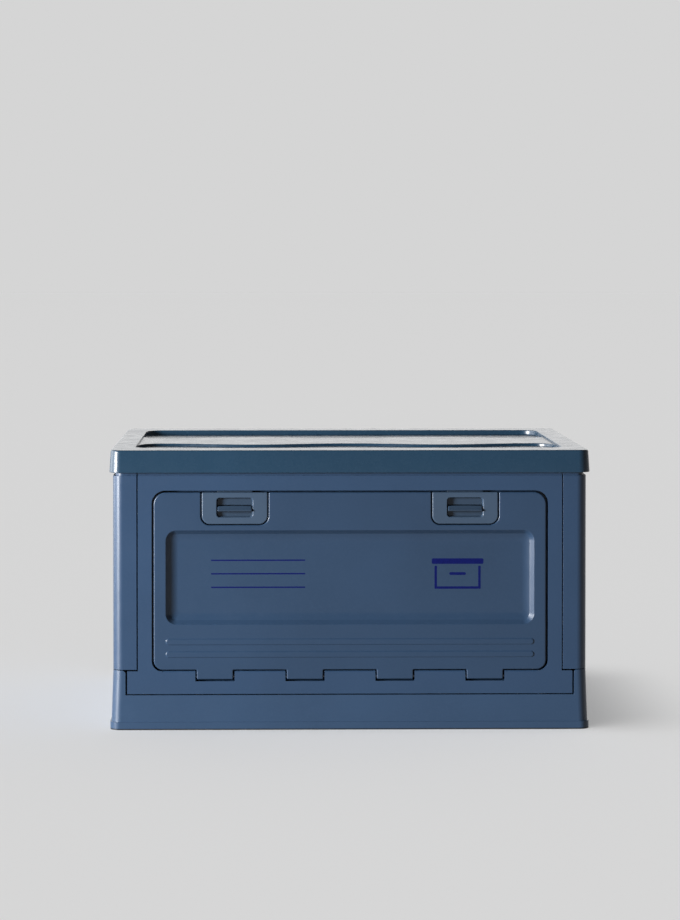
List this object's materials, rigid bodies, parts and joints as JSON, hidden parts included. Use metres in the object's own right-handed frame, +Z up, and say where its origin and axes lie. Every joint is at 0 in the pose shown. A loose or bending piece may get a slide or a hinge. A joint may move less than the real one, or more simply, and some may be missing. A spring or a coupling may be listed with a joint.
{
  "type": "folding storage crate",
  "caption": "Rigid plastic folding storage crate with a lift-off cap lid, folding long walls and a bottom-hinged front door held by sliding latches.",
  "frame": {"origin": "centre of the footprint, at the underside of the base's foot flange", "axes": "+X along the long side, +Y from the front door to the back wall, +Z up"},
  "size_m": [0.52, 0.36, 0.302],
  "materials": {
    "base_plastic": "fine satin mould texture",
    "wall_plastic": "fine satin mould texture",
    "door_plastic": "fine satin mould texture",
    "latch_plastic": "satin",
    "lid_plastic": "smooth satin",
    "steel": "drawn wire, blackened"
  },
  "bodies": {
    "base": {"base_tray": "base_plastic", "left_side_wall": "wall_plastic", "right_side_wall": "wall_plastic", "front_wall_hinge_rod": "steel", "back_wall_hinge_rod": "steel", "left_wall_hinge_rod": "steel", "right_wall_hinge_rod": "steel"},
    "front_wall": {"front_wall_frame": "wall_plastic", "door_hinge_rod": "steel"},
    "back_wall": {"back_wall_panel": "wall_plastic"},
    "door": {"door_panel": "door_plastic", "left_latch_housing": "latch_plastic", "right_latch_housing": "latch_plastic", "left_latch_cover": "latch_plastic", "right_latch_cover": "latch_plastic", "latch_cover_screws": "steel"},
    "left_latch": {"left_latch_slider": "latch_plastic"},
    "right_latch": {"right_latch_slider": "latch_plastic"},
    "lid": {"lid": "lid_plastic"}
  },
  "joints": [
    {"name": "front_wall_fold", "type": "hinge", "parent": "base", "child": "front_wall", "pos_m": [0, -0.166, 0.016], "axis": [-1, 0, 0], "range_deg": [0, 90]},
    {"name": "back_wall_fold", "type": "hinge", "parent": "base", "child": "back_wall", "pos_m": [0, 0.166, 0.033], "axis": [1, 0, 0], "range_deg": [0, 90]},
    {"name": "front_door_hinge", "type": "hinge", "parent": "front_wall", "child": "door", "pos_m": [0, -0.1717, 0.057], "axis": [-1, 0, 0], "range_deg": [-90, 0]},
    {"name": "left_latch_slide", "type": "slide", "parent": "door", "child": "left_latch", "axis": [0, 0, 1], "range_m": [0, 0.005]},
    {"name": "right_latch_slide", "type": "slide", "parent": "door", "child": "right_latch", "axis": [0, 0, 1], "range_m": [0, 0.005]},
    {"name": "lid_lift", "type": "slide", "parent": "base", "child": "lid", "axis": [0, 0, 1], "range_m": [0, 0.15]}
  ]
}
